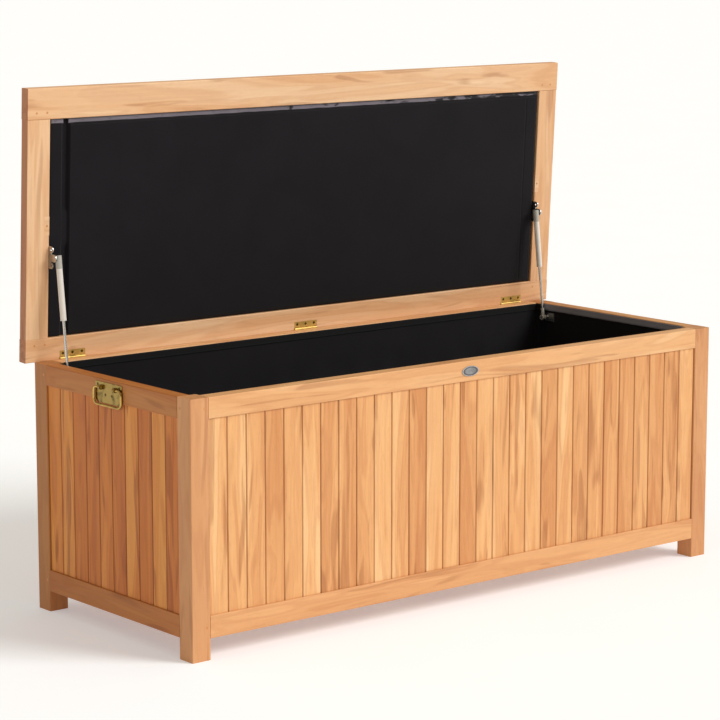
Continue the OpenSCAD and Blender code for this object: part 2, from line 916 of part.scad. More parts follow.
post_at(-1, -1);  // front_left_post
post_at(1, -1);  // front_right_post
post_at(-1, 1);  // rear_left_post
post_at(1, 1);  // rear_right_post
front_top_rail();
rear_top_rail();
left_top_rail();
right_top_rail();
front_bottom_rail();
rear_bottom_rail();
left_bottom_rail();
right_bottom_rail();
front_slats();
rear_slats();
left_slats();
right_slats();
case_pegs();
floor_bearers();
floor_boards();
box_liner();
box_liner_band();
badge();
lid_front_rail();
lid_rear_rail();
lid_left_stile();
lid_right_stile();
lid_batten();
lid_slats_panel();
lid_pegs();
lid_liner();
lid_liner_band();
case_leaf(-hinge_x);  // left_hinge_case_leaf
case_leaf(0);  // centre_hinge_case_leaf
case_leaf(hinge_x);  // right_hinge_case_leaf
lid_leaf(-hinge_x);  // left_hinge_lid_leaf
lid_leaf(0);  // centre_hinge_lid_leaf
lid_leaf(hinge_x);  // right_hinge_lid_leaf
hinge_pins();
hinge_case_screws();
hinge_lid_screws();
color(steel) case_side(-1) case_bracket();  // left_strut_case_bracket
color(nylon) case_side(-1) end_eye();  // left_strut_end_eye
color(steel) case_side(-1) rod();  // left_strut_rod
color(paint) case_side(-1) strut_cylinder();  // left_strut_cylinder
color(nylon) case_side(-1) strut_cap();  // left_strut_cap
color(steel) lid_side(-1) lid_bracket();  // left_strut_lid_bracket
color(steel) case_side(1) case_bracket();  // right_strut_case_bracket
color(nylon) case_side(1) end_eye();  // right_strut_end_eye
color(steel) case_side(1) rod();  // right_strut_rod
color(paint) case_side(1) strut_cylinder();  // right_strut_cylinder
color(nylon) case_side(1) strut_cap();  // right_strut_cap
color(steel) lid_side(1) lid_bracket();  // right_strut_lid_bracket
strut_case_screws();
strut_lid_screws();
color(brass) in_case() handle_plate();  // left_handle_plate
color(brass) in_case() bail();  // left_handle_bail
color(brass) in_case() mirror([1, 0, 0]) handle_plate();  // right_handle_plate
color(brass) in_case() mirror([1, 0, 0]) bail();  // right_handle_bail
handle_screws();
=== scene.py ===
"""Deck storage box: wood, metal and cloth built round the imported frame."""
import json
import math

import bmesh
import bpy
from mathutils import Matrix, Vector, noise


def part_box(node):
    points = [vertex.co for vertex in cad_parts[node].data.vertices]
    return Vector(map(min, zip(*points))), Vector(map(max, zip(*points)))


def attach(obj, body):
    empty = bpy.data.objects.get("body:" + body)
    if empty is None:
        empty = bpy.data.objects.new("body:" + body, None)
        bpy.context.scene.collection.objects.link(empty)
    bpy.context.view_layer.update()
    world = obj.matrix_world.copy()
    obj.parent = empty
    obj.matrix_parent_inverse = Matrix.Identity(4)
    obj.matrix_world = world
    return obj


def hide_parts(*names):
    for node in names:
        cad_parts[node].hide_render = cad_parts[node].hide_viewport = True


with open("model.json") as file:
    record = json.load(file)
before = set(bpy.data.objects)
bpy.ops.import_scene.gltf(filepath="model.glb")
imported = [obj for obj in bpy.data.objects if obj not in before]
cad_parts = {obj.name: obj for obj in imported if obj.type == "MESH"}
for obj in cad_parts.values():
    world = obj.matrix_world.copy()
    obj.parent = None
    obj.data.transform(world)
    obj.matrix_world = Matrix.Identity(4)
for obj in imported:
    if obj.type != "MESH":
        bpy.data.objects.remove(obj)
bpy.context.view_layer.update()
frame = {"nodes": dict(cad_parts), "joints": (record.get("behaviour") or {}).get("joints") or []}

bl_info = {
    "name": "Deck Storage Box",
    "version": (1, 0, 0),
    "blender": (4, 5, 0),
    "location": "3D View > Sidebar > Deck Box",
    "description": "Finishes the deck storage box: oiled teak, brass, gas struts, liner and webbing",
    "category": "Object",
}

MM = 0.001
LONG_SLATS = 29
END_SLATS = 10
FLOOR_BOARDS = 14

# Stains, and the painted shade below, multiply the wood's own colour.
PLAIN = (1.0, 1.0, 1.0)
# Painted shade on the end slats and rails, which face away from the key light; milder on the right end.
END_SHADES = {
    "left_slats": (0.88, 0.59, 0.26), "left_rail": (0.62, 0.42, 0.24),
    "right_slats": (0.94, 0.82, 0.66), "right_rail": (0.84, 0.76, 0.66),
}
POST_STAIN = (0.88, 0.86, 0.94)
# Painted shade on the rear posts, darker than the front ones.
REAR_POST_SHADE = (0.64, 0.53, 0.39)
RAIL_STAIN = (0.96, 0.97, 1.04)
LID_STAIN = (0.96, 1.04, 1.30)
# Painted shade for the lid's left end face.
LID_END_SHADE = (0.61, 0.43, 0.36)

# Noises of the wood: stretch along the grain, scale, detail and distortion.
FIGURE = (0.09, 24.0, 2.0, 0.45)
FLAME = (0.10, 30.0, 1.5, 1.3)
STREAK = (0.022, 190.0, 2.0, 0.0)
PORES = (0.04, 1300.0, 1.0, 0.0)
RINGS_PER_FIGURE = 46.0

LID_HINGE = next(j for j in frame["joints"] if j["name"] == "lid_hinge")
LID_OPEN = math.radians(LID_HINGE["range_deg"][1])
LID_PIN = Vector(LID_HINGE["pos_m"])
CASE_Y = (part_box("front_left_post")[0].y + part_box("rear_left_post")[1].y) / 2
OPEN_TURN = Matrix.Translation(LID_PIN) @ Matrix.Rotation(-LID_OPEN, 4, "X") @ Matrix.Translation(-LID_PIN)
REAR_BAND = 234 * MM  # how far behind the middle the webbing turns black, as painted shade

FLOOR_REACH = 60.0  # metres from the middle to the floor's edges
FLOOR_GLOW = (0.86, 0.91, 1.0)
BACKDROP = 0.93
KEY_FROM = (0.62, -0.80, 0.72)  # the direction that the key light comes from

# The camera: millimetres, metres and degrees.
LENS, SENSOR = 134.5, 36
CAMERA_PLACE = (-3.7326, CASE_Y - 4.5093, 1.4853)
CAMERA_DOWN, CAMERA_TURN = 9.57, -39.07


def srgb(red, green, blue):
    """A colour on the 0 to 255 screen scale as the linear numbers a shader takes."""
    shares = (c / 255 for c in (red, green, blue))
    return tuple(c / 12.92 if c <= 0.04 else ((c + 0.055) / 1.055) ** 2.4 for c in shares)


def grey(value):
    return (value, value, value)


# ---- settings ----


def color_setting(name, words, value):
    return bpy.props.FloatVectorProperty(
        name=name, description=words, subtype="COLOR", size=3, min=0, max=1, default=value)


def length_setting(name, words, value, low=0.3 * MM, high=1.0):
    return bpy.props.FloatProperty(name=name, description=words, default=value, min=low, max=high, unit="LENGTH")


def share_setting(name, words, value):
    return bpy.props.FloatProperty(name=name, description=words, default=value, min=0, max=1, subtype="FACTOR")


def strength_setting(name, words, value):
    return bpy.props.FloatProperty(name=name, description=words, default=value, min=0)


class WoodSettings(bpy.types.PropertyGroup):
    """Colours and figure of the oiled teak"""
    sapwood: color_setting("Sapwood", "Palest tone of the boards", srgb(243, 200, 146))
    honey: color_setting("Honey", "Commonest tone of the boards", srgb(229, 172, 114))
    heartwood: color_setting("Heartwood", "Darker tone of the boards", srgb(208, 143, 88))
    flame: color_setting("Flame", "Red-brown streaks of the heart", srgb(172, 110, 62))
    board_spread: share_setting("Board spread", "How much the boards differ", 0.30)
    pore_depth: length_setting("Pore depth", "Depth of the open grain", 0.25 * MM, 0, 2 * MM)
    # Strength of the painted shade in the V joints between the boards.
    groove_shade: share_setting("Groove shade", "How dark the V joints are", 0.34)


class ClothSettings(bpy.types.PropertyGroup):
    """Sizes and colours of the liner, its webbing and its thread"""
    liner_color: color_setting("Liner", "Colour of the liner cloth", (0.0056, 0.0048, 0.0064))
    webbing_color: color_setting("Webbing", "Colour of the box's webbing band", (0.240, 0.235, 0.275))
    lid_hem_color: color_setting("Lid hem", "Colour of the lid panel's hem", (0.135, 0.120, 0.140))
    thread_color: color_setting("Thread", "Colour of the sewing thread", (0.016, 0.015, 0.019))
    weave_pitch: length_setting("Weave pitch", "Distance between the cloth's threads", 1.1 * MM)
    fold_depth: length_setting("Fold depth", "Depth of the liner's soft folds", 4.5 * MM, 0, 10 * MM)
    cloth_thickness: length_setting("Cloth", "Thickness of the liner cloth", 1.1 * MM)
    band_thickness: length_setting("Band", "Thickness of the webbing", 0.9 * MM)
    stitch_spacing: length_setting("Stitch spacing", "Distance from stitch to stitch", 5.2 * MM, 2 * MM)
    stitch_length: length_setting("Stitch length", "Length of one stitch", 3.6 * MM, 1 * MM)
    stitch_width: length_setting("Stitch width", "Width of one stitch", 0.8 * MM)
    staple_spacing: length_setting("Staple spacing", "Distance between the lid band's staples", 68 * MM, 20 * MM)


class MetalSettings(bpy.types.PropertyGroup):
    """Colours of the fittings"""
    brass: color_setting("Brass", "Colour of the hinges and handles", srgb(208, 174, 96))
    zinc: color_setting("Zinc", "Colour of the strut brackets", (0.60, 0.60, 0.60))
    chrome: color_setting("Rod", "Colour of the piston rods", (0.70, 0.70, 0.71))
    paint: color_setting("Paint", "Colour of the struts' cylinders", srgb(226, 219, 211))
    nylon: color_setting("Nylon", "Colour of the struts' end fittings", srgb(176, 172, 164))
    pewter: color_setting("Pewter", "Colour of the oval badge", (0.36, 0.36, 0.37))


class StudioSettings(bpy.types.PropertyGroup):
    """Floor and light"""
    floor_color: color_setting("Floor", "Colour of the floor", (0.80, 0.84, 0.88))
    floor_glow: strength_setting("Floor glow", "Light that the floor adds, as a lit backdrop does", 0.31)
    sky_color: color_setting("Sky colour", "Colour of the even light", (1.0, 0.90, 0.72))
    sky_strength: strength_setting("Sky", "Strength of the even light", 0.50)
    sun_strength: strength_setting("Key", "Strength of the soft key light", 2.30)
    sun_angle: bpy.props.FloatProperty(
        name="Key size", description="Softness of the key light", default=math.radians(28), min=0, subtype="ANGLE")


# ---- building blocks for materials ----


class Finish:
    """A material being built. put() sets or links a socket, surface() fills the shader's sockets, bump() its
    normal, and every other call adds a node and returns its output."""

    def __init__(self, name):
        self.material = bpy.data.materials.new(name)
        self.material.use_nodes = True
        self.tree = self.material.node_tree
        self.tree.nodes.clear()
        self.shader = self.tree.nodes.new("ShaderNodeBsdfPrincipled")
        end = self.tree.nodes.new("ShaderNodeOutputMaterial")
        self.tree.links.new(self.shader.outputs["BSDF"], end.inputs["Surface"])

    def put(self, socket, value):
        if isinstance(value, bpy.types.NodeSocket):
            self.tree.links.new(value, socket)
        elif isinstance(value, (tuple, list)) and len(value) == 3 and socket.type == "RGBA":
            socket.default_value = (*value, 1)
        else:
            socket.default_value = value

    def surface(self, **values):
        for name, value in values.items():
            self.put(self.shader.inputs[name.replace("_", " ")], value)

    def math(self, operation, a, b=0.0, c=0.0):
        node = self.tree.nodes.new("ShaderNodeMath")
        node.operation = operation
        for socket, value in zip(node.inputs, (a, b, c)):
            self.put(socket, value)
        return node.outputs[0]

    def place(self, turn=(0, 0, 0), scale=(1, 1, 1)):
        source = self.tree.nodes.new("ShaderNodeTexCoord")
        mapping = self.tree.nodes.new("ShaderNodeMapping")
        self.put(mapping.inputs["Vector"], source.outputs["Object"])
        mapping.inputs["Rotation"].default_value = turn
        mapping.inputs["Scale"].default_value = scale
        return mapping.outputs[0]

    def split(self, vector):
        node = self.tree.nodes.new("ShaderNodeSeparateXYZ")
        self.put(node.inputs[0], vector)
        return list(node.outputs)

    def join(self, x, y, z):
        node = self.tree.nodes.new("ShaderNodeCombineXYZ")
        for socket, value in zip(node.inputs, (x, y, z)):
            self.put(socket, value)
        return node.outputs[0]

    def noise(self, vector, scale, detail=2.0, distortion=0.0):
        node = self.tree.nodes.new("ShaderNodeTexNoise")
        self.put(node.inputs["Vector"], vector)
        self.put(node.inputs["Scale"], scale)
        self.put(node.inputs["Detail"], detail)
        self.put(node.inputs["Distortion"], distortion)
        return node.outputs["Fac"]

    def chance(self, number):
        node = self.tree.nodes.new("ShaderNodeTexWhiteNoise")
        node.noise_dimensions = "1D"
        self.put(node.inputs["W"], number)
        return node.outputs["Value"], node.outputs["Color"]

    def ramp(self, factor, stops):
        node = self.tree.nodes.new("ShaderNodeValToRGB")
        self.put(node.inputs["Fac"], factor)
        band = node.color_ramp
        while len(band.elements) < len(stops):
            band.elements.new(0.5)
        for element, (position, color) in zip(band.elements, stops):
            element.position = position
            element.color = (*color, 1)
        return node.outputs["Color"]

    def fade(self, value, low, high, start=0.0, end=1.0):
        node = self.tree.nodes.new("ShaderNodeMapRange")
        node.interpolation_type = "SMOOTHSTEP"
        for socket, item in zip(node.inputs, (value, low, high, start, end)):
            self.put(socket, item)
        return node.outputs[0]

    def mix(self, factor, a, b, blend="MIX"):
        # Sockets 6, 7 and the output 2 are the node's colour ones.
        node = self.tree.nodes.new("ShaderNodeMix")
        node.data_type = "RGBA"
        node.blend_type = blend
        self.put(node.inputs[0], factor)
        self.put(node.inputs[6], a)
        self.put(node.inputs[7], b)
        return node.outputs[2]

    def tint(self, factor, color, stain_and_shade):
        return self.mix(factor, color, self.mix(1.0, color, stain_and_shade, "MULTIPLY"))

    def bump(self, height, distance, strength=1.0):
        node = self.tree.nodes.new("ShaderNodeBump")
        self.put(node.inputs["Height"], height)
        node.inputs["Distance"].default_value = distance
        node.inputs["Strength"].default_value = strength
        self.put(self.shader.inputs["Normal"], node.outputs["Normal"])


def teak(name, wood, grain, seed, boards=None, turn=0.0, tone=0.5, figured=0.5,
         stain_and_shade=PLAIN, bold=1.0, end_x=None):
    """Oiled teak with its grain along one axis, turned about X. boards is (axis, start, pitch) for a row of boards.
    tone is 0 for pale and 1 for dark, and figured is how strong the grain is. bold widens the spread between
    boards and strengthens the painted shade in their grooves. end_x is where the left end face with painted shade
    lies."""
    f = Finish(name)
    parts = f.split(f.place(turn=(turn, 0, 0)))
    along = parts["XYZ".index(grain)]
    across = [p for p, axis in zip(parts, "XYZ") if axis != grain]
    if boards:
        axis, start, pitch = boards
        count = f.math("DIVIDE", f.math("SUBTRACT", parts["XYZ".index(axis)], start), pitch)
        value, color = f.chance(f.math("ADD", f.math("FLOOR", count), seed))
        shifts = [f.math("MULTIPLY", s, 9.0) for s in f.split(color)]
        board_tone = f.math("MULTIPLY_ADD", f.math("SUBTRACT", value, 0.5), wood.board_spread * bold, tone)
        within = f.math("FRACT", count)
        edge = f.math("MULTIPLY", f.math("MINIMUM", within, f.math("SUBTRACT", 1.0, within)), pitch)
    else:
        shifts = [seed * 1.37, seed * 2.11, seed * 0.73]
        board_tone = tone
        edge = None
    u = f.math("ADD", across[0], shifts[0])
    v = f.math("ADD", across[1], shifts[1])
    w = f.math("ADD", along, shifts[2])
    figure, flame, streak, pores = (
        f.noise(f.join(u, v, f.math("MULTIPLY", w, stretch)), *noise_values)
        for stretch, *noise_values in (FIGURE, FLAME, STREAK, PORES))
    rings = f.math("SINE", f.math("MULTIPLY", figure, RINGS_PER_FIGURE))
    mood = f.math("ADD", f.math("MULTIPLY", f.math("SUBTRACT", figure, 0.5), 1.35 * figured), board_tone)
    color = f.ramp(mood, [(0.22, tuple(wood.sapwood)), (0.47, tuple(wood.honey)), (0.80, tuple(wood.heartwood))])
    color = f.mix(f.fade(flame, 0.58, 0.68, 0.0, 0.78 * figured), color, tuple(wood.flame))
    color = f.tint(f.fade(rings, -0.4, 1.0, 0.0, 0.26 * figured), color, srgb(196, 138, 96))
    color = f.tint(f.fade(streak, 0.36, 0.66, 0.17 * figured, 0.0), color, srgb(206, 170, 140))
    color = f.tint(f.fade(pores, 0.30, 0.42, 0.20 * figured, 0.0), color, srgb(170, 120, 88))
    # Painted shade in the V joints between the boards.
    if edge:
        shade = min(1.0, wood.groove_shade * bold)
        color = f.tint(f.fade(edge, 0.4 * MM, 2.0 * MM, shade, 0.0), color, srgb(120, 72, 40))
    if stain_and_shade != PLAIN:
        color = f.mix(1.0, color, stain_and_shade, "MULTIPLY")
    # Painted shade on the lid's left end face.
    if end_x is not None:
        near_end = f.fade(parts[0], end_x + 0.1 * MM, end_x + 1 * MM, 1.0, 0.0)
        color = f.tint(near_end, color, LID_END_SHADE)
    height = f.math("ADD", f.math("MULTIPLY", streak, 0.6), f.fade(pores, 0.28, 0.45))
    f.surface(Base_Color=color, Roughness=f.fade(streak, 0.3, 0.7, 0.42, 0.56), Specular_IOR_Level=0.38)
    f.bump(height, wood.pore_depth, 0.55)
    return f.material


def metal(name, color, roughness, grain=(1, 1, 1), scale=180.0, wear=0.25, metallic=1.0, dents=0.0):
    """A metal or plastic with faint brushing, handling marks and uneven gloss. grain stretches the brushing, wear
    is how far the marks dull the colour, and dents adds the soft unevenness of a casting."""
    f = Finish(name)
    brushed = f.noise(f.place(scale=grain), scale, 3.0)
    marks = f.noise(f.place(), 45.0, 4.0, 0.6)
    dull = tuple(c * (1 - wear) for c in color)
    f.surface(Base_Color=f.mix(f.fade(marks, 0.42, 0.72), tuple(color), dull), Metallic=metallic)
    f.surface(Roughness=f.math("MULTIPLY_ADD", f.math("SUBTRACT", brushed, 0.5), 0.30, roughness))
    cast = f.noise(f.place(), 90.0, 1.0)
    f.bump(f.math("MULTIPLY_ADD", cast, dents, brushed), 0.06 * MM, 0.5)
    return f.material


def badge_metal(name, color):
    """Cast pewter with a bright rim, a dark line inside it and a soft field."""
    low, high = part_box("badge")
    centre, half = (low + high) / 2, (high - low) / 2
    f = Finish(name)
    x, _, z = f.split(f.place())
    across = f.math("DIVIDE", f.math("SUBTRACT", x, centre.x), half.x)
    up = f.math("DIVIDE", f.math("SUBTRACT", z, centre.z), half.z)
    out = f.math("SQRT", f.math("ADD", f.math("POWER", across, 2.0), f.math("POWER", up, 2.0)))
    dark, bright = tuple(c * 0.34 for c in color), tuple(c * 1.45 for c in color)
    marks = f.noise(f.place(), 160.0, 4.0, 0.6)
    tone = f.mix(f.fade(out, 0.55, 0.80, 0.15, 1.0), tuple(color), dark)
    tone = f.mix(f.fade(out, 0.84, 0.92), tone, bright)
    tone = f.mix(f.fade(marks, 0.42, 0.70, 0.0, 0.45), tone, dark)
    f.surface(Base_Color=tone, Metallic=1.0, Roughness=f.fade(marks, 0.3, 0.7, 0.30, 0.46))
    f.bump(marks, 0.08 * MM, 0.5)
    return f.material


def woven(name, color, pitch, rib=1.0, sheen=0.06, soiled=0.0, painted_shade_from=None):
    """A plain weave that follows the piece's own cloth map, in metres. soiled darkens patches, more so to the
    right. Behind the given depth the cloth turns black, as painted shade."""
    f = Finish(name)
    cloth = f.tree.nodes.new("ShaderNodeUVMap")
    cloth.uv_map = "cloth"
    u, v, _ = f.split(cloth.outputs["UV"])
    turns = math.tau / pitch
    warp = f.math("SINE", f.math("MULTIPLY", u, turns))
    weft = f.math("SINE", f.math("MULTIPLY", v, turns * rib))
    threads = f.math("MULTIPLY_ADD", f.math("MULTIPLY", warp, weft), 0.5, 0.5)
    slub = f.noise(f.join(f.math("MULTIPLY", u, 30.0), f.math("MULTIPLY", v, 900.0), 0.0), 1.0, 2.0)
    cloud = f.noise(f.place(), 9.0, 3.0, 0.4)
    pale = tuple(c * 1.7 + 0.001 for c in color)
    tone = f.mix(f.fade(cloud, 0.3, 0.75, 0.0, 0.5), tuple(color), pale)
    tone = f.mix(f.math("MULTIPLY", threads, 0.45), tone, pale)
    tone = f.mix(f.fade(slub, 0.45, 0.8, 0.0, 0.35), tone, pale)
    if soiled:
        patches = f.math("MULTIPLY_ADD", u, 0.34, f.noise(f.place(scale=(1, 3, 3)), 26.0, 3.0, 0.8))
        tone = f.mix(f.fade(patches, 0.56, 0.66, 0.0, soiled), tone, tuple(c * 0.12 for c in color))
    # Painted shade: the cloth turns black behind the depth.
    if painted_shade_from is not None:
        _, depth, _ = f.split(f.place())
        tone = f.mix(f.fade(depth, painted_shade_from, painted_shade_from + 1 * MM), tone, tuple(c * 0.02 for c in color))
    f.surface(Base_Color=tone, Roughness=0.88, Specular_IOR_Level=0.14)
    f.surface(Sheen_Weight=sheen, Sheen_Roughness=0.5)
    f.bump(f.math("ADD", threads, slub), 0.22 * MM, 0.6)
    return f.material


def dress(material, *nodes):
    """Gives CAD nodes a material."""
    for name in nodes:
        for slot in frame["nodes"][name].material_slots:
            slot.material = material


# ---- building blocks for shapes ----


def new_piece(name, points, faces, material, flat=None):
    """A mesh object from points and faces. flat holds each point's place on the cloth, in metres."""
    mesh = bpy.data.meshes.new(name)
    mesh.from_pydata([tuple(p) for p in points], [], faces)
    if flat:
        layer = mesh.uv_layers.new(name="cloth")
        for loop in mesh.loops:
            layer.data[loop.index].uv = flat[loop.vertex_index]
    mesh.materials.append(material)
    mesh.polygons.foreach_set("use_smooth", [True] * len(mesh.polygons))
    mesh.update()
    piece = bpy.data.objects.new(name, mesh)
    bpy.context.scene.collection.objects.link(piece)
    return piece


def thicken(piece, thickness, offset=0.0):
    """Gives a cloth surface its thickness."""
    solid = piece.modifiers.new("thickness", "SOLIDIFY")
    solid.thickness = thickness
    solid.offset = offset


def smooth(value, low, high):
    """0 below low, 1 above high, and an S between."""
    t = min(1, max(0, (value - low) / (high - low)))
    return t * t * (3 - 2 * t)


def soft(x, y, seed):
    """Smooth noise from -1 to 1."""
    return noise.noise(Vector((x, y, seed)))


def spaced(low, high, step):
    """Even stops from low to high, at most step apart."""
    count = max(1, math.ceil((high - low) / step - 1e-9))
    return [low + (high - low) * i / count for i in range(count + 1)]


def on_lid(x, y, z):
    """Where the open lid carries a point of the closed lid."""
    return OPEN_TURN @ Vector((x, y, z))


def closed_box(node):
    """Lowest and highest corner of a lid node with the lid closed."""
    back = OPEN_TURN.inverted()
    points = [back @ v.co for v in frame["nodes"][node].data.vertices]
    low, high = ([pick(p[i] for p in points) for i in range(3)] for pick in (min, max))
    return Vector(low), Vector(high)


def cavity_path(inset, radius=4 * MM, step=9 * MM):
    """The line round the inside of the frame, drawn in by inset, and its length. The line is a list of
    (point, inward direction, distance)."""
    half_x = -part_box("left_top_rail")[1].x - inset
    half_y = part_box("rear_top_rail")[0].y - CASE_Y - inset
    post_x = -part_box("front_left_post")[1].x - inset
    post_y = CASE_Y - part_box("front_left_post")[1].y - inset
    quarter = [(post_x, -half_y), (post_x, -post_y), (half_x, -post_y)]
    other = [(half_x, post_y), (post_x, post_y), (post_x, half_y)]
    half = quarter + other
    corners = [Vector((x * way, y * way)) for way in (1, -1) for x, y in half]
    line = []
    for i, corner in enumerate(corners):
        before, after = corners[i - 1], corners[(i + 1) % len(corners)]
        start = corner + (before - corner).normalized() * radius
        end = corner + (after - corner).normalized() * radius
        for t in spaced(0, 1, 0.25):
            line.append(start * (1 - t) ** 2 + corner * 2 * t * (1 - t) + end * t * t)
        next_start = after + (corner - after).normalized() * radius
        gap = (next_start - end).length
        line += [end.lerp(next_start, t / gap) for t in spaced(0, gap, step)[1:-1]] if gap > step else []
    path, run = [], 0.0
    for i, point in enumerate(line):
        ahead, behind = line[(i + 1) % len(line)], line[i - 1]
        direction = (ahead - behind).normalized()
        path.append((point, Vector((-direction.y, direction.x)), run))
        run += (ahead - point).length
    return path, run


def wall_piece(name, path, length, heights, shape, material):
    """A closed wall of cloth round a path of a length. shape(point, distance, height) is how far it stands in
    from the path."""
    points, flat, faces = [], [], []
    for z in heights:
        for point, inward, run in [*path, (*path[0][:2], length)]:
            place = point + inward * shape(point, run % length, z)
            points.append((place.x, place.y + CASE_Y, z))
            flat.append((run, z))
    columns = len(path) + 1
    for row in range(len(heights) - 1):
        for i in range(len(path)):
            a = row * columns + i
            faces.append((a + 1, a, a + columns, a + columns + 1))
    piece = new_piece(name, points, faces, material, flat)
    work = bmesh.new()
    work.from_mesh(piece.data)
    bmesh.ops.remove_doubles(work, verts=work.verts, dist=1e-6)
    work.to_mesh(piece.data)
    work.free()
    return piece


def grid_piece(name, xs, ys, surface, material, keep=None, flip=False):
    """A sheet over stops xs and ys. surface(x, y) gives a point, keep(x, y) drops faces that it turns down, and
    flip turns the faces over."""
    points = [surface(x, y) for y in ys for x in xs]
    flat = [(x, y) for y in ys for x in xs]
    faces = []
    columns = len(xs)
    for j in range(len(ys) - 1):
        for i in range(columns - 1):
            if keep and not keep((xs[i] + xs[i + 1]) / 2, (ys[j] + ys[j + 1]) / 2):
                continue
            a = j * columns + i
            face = (a, a + 1, a + columns + 1, a + columns)
            faces.append(face[::-1] if flip else face)
    piece = new_piece(name, points, faces, material, flat)
    work = bmesh.new()
    work.from_mesh(piece.data)
    bmesh.ops.delete(work, geom=[v for v in work.verts if not v.link_faces], context="VERTS")
    work.to_mesh(piece.data)
    work.free()
    return piece


# ---- the repeat maker: stitches and staples ----


def repeat_tree():
    """Geometry Nodes that set a small rounded bar along lines, every so often and slightly uneven."""
    tree = bpy.data.node_groups.new("Repeat along line", "GeometryNodeTree")
    socket = tree.interface.new_socket
    socket("Geometry", in_out="INPUT", socket_type="NodeSocketGeometry")
    defaults = {"Spacing": 5 * MM, "Length": 4 * MM, "Width": 1 * MM, "Height": 0.6 * MM,
                "Turn": 0, "Unevenness": 0.08}
    for name, value in defaults.items():
        socket(name, in_out="INPUT", socket_type="NodeSocketFloat").default_value = value
    socket("Seed", in_out="INPUT", socket_type="NodeSocketInt").default_value = 7
    socket("Face Direction", in_out="INPUT", socket_type="NodeSocketVector")
    socket("Material", in_out="INPUT", socket_type="NodeSocketMaterial")
    socket("Geometry", in_out="OUTPUT", socket_type="NodeSocketGeometry")
    node, link = tree.nodes.new, tree.links.new
    given, result = node("NodeGroupInput"), node("NodeGroupOutput")
    curve, resample = node("GeometryNodeMeshToCurve"), node("GeometryNodeResampleCurve")
    points = node("GeometryNodeInstanceOnPoints")
    resample.mode = "LENGTH"
    link(given.outputs["Geometry"], curve.inputs["Mesh"])
    link(curve.outputs["Curve"], resample.inputs["Curve"])
    link(given.outputs["Spacing"], resample.inputs["Length"])
    bar = node("GeometryNodeMeshUVSphere")
    bar.inputs["Segments"].default_value = 6
    bar.inputs["Rings"].default_value = 4
    bar.inputs["Radius"].default_value = 0.5
    size = node("ShaderNodeCombineXYZ")
    for axis, name in zip("XYZ", ("Length", "Width", "Height")):
        link(given.outputs[name], size.inputs[axis])
    shape = node("GeometryNodeTransform")
    link(bar.outputs["Mesh"], shape.inputs["Geometry"])
    link(size.outputs[0], shape.inputs["Scale"])
    tangent = node("GeometryNodeInputTangent")
    lay, face = node("FunctionNodeAlignRotationToVector"), node("FunctionNodeAlignRotationToVector")
    lay.axis = "X"
    face.axis = "Z"
    face.pivot_axis = "X"
    link(tangent.outputs[0], lay.inputs["Vector"])
    link(lay.outputs[0], face.inputs["Rotation"])
    link(given.outputs["Face Direction"], face.inputs["Vector"])
    chance, angle, spin = node("FunctionNodeRandomValue"), node("ShaderNodeMath"), node("ShaderNodeCombineXYZ")
    link(given.outputs["Seed"], chance.inputs["Seed"])
    angle.operation = "MULTIPLY_ADD"
    link(chance.outputs[1], angle.inputs[0])  # output 1 is a number from 0 to 1
    link(given.outputs["Unevenness"], angle.inputs[1])
    link(given.outputs["Turn"], angle.inputs[2])
    link(angle.outputs[0], spin.inputs["Z"])
    turn = node("FunctionNodeRotateRotation")
    turn.rotation_space = "LOCAL"
    link(face.outputs[0], turn.inputs["Rotation"])
    link(spin.outputs[0], turn.inputs["Rotate By"])
    link(resample.outputs["Curve"], points.inputs["Points"])
    link(shape.outputs["Geometry"], points.inputs["Instance"])
    link(turn.outputs[0], points.inputs["Rotation"])
    real, paint = node("GeometryNodeRealizeInstances"), node("GeometryNodeSetMaterial")
    link(points.outputs["Instances"], real.inputs["Geometry"])
    link(real.outputs["Geometry"], paint.inputs["Geometry"])
    link(given.outputs["Material"], paint.inputs["Material"])
    link(paint.outputs["Geometry"], result.inputs["Geometry"])
    return tree


def stitch_sizes(cloth):
    """Spacing and size of the stitches."""
    return {"Spacing": cloth.stitch_spacing, "Length": cloth.stitch_length,
            "Width": cloth.stitch_width, "Height": cloth.stitch_width * 0.7}


def repeat_along(name, lines, material, face, **sizes):
    """One plain mesh of the small bars set along lines, each line a list of points and whether it closes.
    face is the direction that the bars look."""
    tree = bpy.data.node_groups.get("Repeat along line") or repeat_tree()
    points, edges = [], []
    for line, closed in lines:
        first = len(points)
        points += [tuple(p) for p in line]
        edges += [(first + i, first + i + 1) for i in range(len(line) - 1)]
        if closed:
            edges.append((len(points) - 1, first))
    guide_mesh = bpy.data.meshes.new(name + "_line")
    guide_mesh.from_pydata(points, edges, [])
    guide = bpy.data.objects.new(name + "_line", guide_mesh)
    bpy.context.scene.collection.objects.link(guide)
    repeat = guide.modifiers.new("repeat", "NODES")
    repeat.node_group = tree
    inputs = {item.name: item.identifier for item in tree.interface.items_tree if item.in_out == "INPUT"}
    repeat[inputs["Material"]] = material
    repeat[inputs["Face Direction"]] = tuple(face)
    for key, value in sizes.items():
        repeat[inputs[key]] = value
    graph = bpy.context.evaluated_depsgraph_get()
    mesh = bpy.data.meshes.new_from_object(guide.evaluated_get(graph), depsgraph=graph)
    mesh.name = name
    bpy.data.objects.remove(guide)
    bpy.data.meshes.remove(guide_mesh)
    if not mesh.polygons:
        raise RuntimeError(f"{name} came out empty")
    mesh.polygons.foreach_set("use_smooth", [True] * len(mesh.polygons))
    piece = bpy.data.objects.new(name, mesh)
    bpy.context.scene.collection.objects.link(piece)
    return piece


# ---- operators ----


